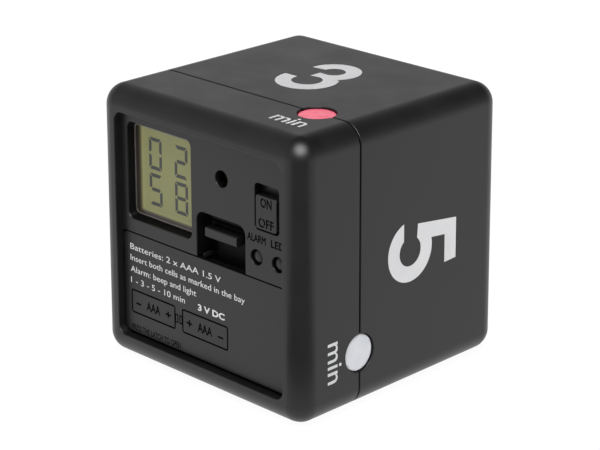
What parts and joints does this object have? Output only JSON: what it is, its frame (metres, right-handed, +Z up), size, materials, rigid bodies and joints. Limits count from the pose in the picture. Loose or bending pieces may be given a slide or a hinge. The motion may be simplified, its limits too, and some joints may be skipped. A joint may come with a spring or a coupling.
{
  "type": "cube kitchen timer",
  "caption": "Electronic cube timer with a sunk display panel, battery door, slide switch and signal lenses; turned so that the wanted time faces up.",
  "frame": {"origin": "middle of the flat base, the face of the cube that rests on the table", "axes": "+Z up, -Y out of the control panel, +X to the right when facing the panel"},
  "size_m": [0.06, 0.06, 0.06],
  "materials": {
    "black_abs": "satin moulded ABS with a very fine grain",
    "inner_abs": "plain moulded ABS",
    "display_glass": "yellow-green reflective liquid-crystal cell",
    "silicone_rubber": "layered silicone contact strip",
    "circuit_board": "glass-epoxy board with green solder resist",
    "potting_epoxy": "black potting epoxy",
    "zinc_steel": "zinc-plated steel",
    "screw_steel": "zinc-plated steel",
    "nickel_contacts": "nickel-plated steel",
    "cell_jacket": "printed shrink jacket",
    "lever_plastic": "plain acetal",
    "buzzer_brass": "rolled brass",
    "buzzer_ceramic": "fired piezo ceramic with a silvered face",
    "red_wire": "PVC sleeve",
    "black_wire": "PVC sleeve",
    "ribbon_pvc": "PVC ribbon",
    "lit_lens": "diffusing acrylic, lit red",
    "frosted_lens": "diffusing acrylic",
    "lamp_epoxy": "water-clear epoxy"
  },
  "bodies": {
    "housing": {"alarm_tact_switch": "zinc_steel", "battery_tray": "inner_abs", "board_screw_1": "screw_steel", "board_screw_2": "screw_steel", "board_screw_3": "screw_steel", "bridge_plate": "nickel_contacts", "bridge_spring": "nickel_contacts", "buzzer_ceramic": "buzzer_ceramic", "buzzer_disc": "buzzer_brass", "buzzer_lead_ceramic": "black_wire", "buzzer_lead_disc": "black_wire", "case_screw_left": "screw_steel", "case_screw_right": "screw_steel", "cell_lower": "cell_jacket", "cell_upper": "cell_jacket", "clock_crystal": "zinc_steel", "contact_strip_low": "silicone_rubber", "contact_strip_top": "silicone_rubber", "display_glass": "display_glass", "display_holder": "inner_abs", "front_shell": "black_abs", "lamp_board": "circuit_board", "lamp_board_screw_left": "screw_steel", "lamp_board_screw_right": "screw_steel", "lamp_bottom": "lamp_epoxy", "lamp_left": "lamp_epoxy", "lamp_right": "lamp_epoxy", "lamp_top": "lamp_epoxy", "lens_bottom": "frosted_lens", "lens_left": "frosted_lens", "lens_right": "frosted_lens", "lens_top": "lit_lens", "light_tact_switch": "zinc_steel", "main_board": "circuit_board", "negative_plate": "nickel_contacts", "negative_spring": "nickel_contacts", "positive_plate": "nickel_contacts", "power_lead_negative": "black_wire", "power_lead_positive": "red_wire", "rear_shell": "black_abs", "ribbon_cable": "ribbon_pvc", "switch_can": "zinc_steel", "tilt_case": "inner_abs", "tilt_cover": "zinc_steel", "timer_chip": "potting_epoxy"},
    "door": {"battery_door": "black_abs"},
    "latch": {"door_latch": "black_abs"},
    "power_switch": {"switch_knob": "black_abs", "switch_lever": "lever_plastic"},
    "alarm_push": {"alarm_button": "black_abs"},
    "light_push": {"light_button": "black_abs"},
    "ball": {"tilt_ball": "zinc_steel"}
  },
  "joints": [
    {"name": "door_hinge", "type": "hinge", "parent": "housing", "child": "door", "pos_m": [0, -0.027, 0.00485], "axis": [1, 0, 0], "range_deg": [0, 19]},
    {"name": "latch_flex", "type": "hinge", "parent": "door", "child": "latch", "pos_m": [0.0056, -0.0243, 0.0274], "axis": [1, 0, 0], "range_deg": [0, 5], "stiffness_Nm_per_rad": 0.1},
    {"name": "power_slide", "type": "slide", "parent": "housing", "child": "power_switch", "axis": [0, 0, 1], "range_m": [0, 0.0019]},
    {"name": "alarm_button_press", "type": "slide", "parent": "housing", "child": "alarm_push", "axis": [0, 1, 0], "range_m": [0, 0.00035], "stiffness_N_per_m": 1500},
    {"name": "light_button_press", "type": "slide", "parent": "housing", "child": "light_push", "axis": [0, 1, 0], "range_m": [0, 0.00035], "stiffness_N_per_m": 1500},
    {"name": "ball_roll", "type": "slide", "parent": "housing", "child": "ball", "axis": [0.7071, 0, 0.7071], "range_m": [0, 0.0014]}
  ]
}
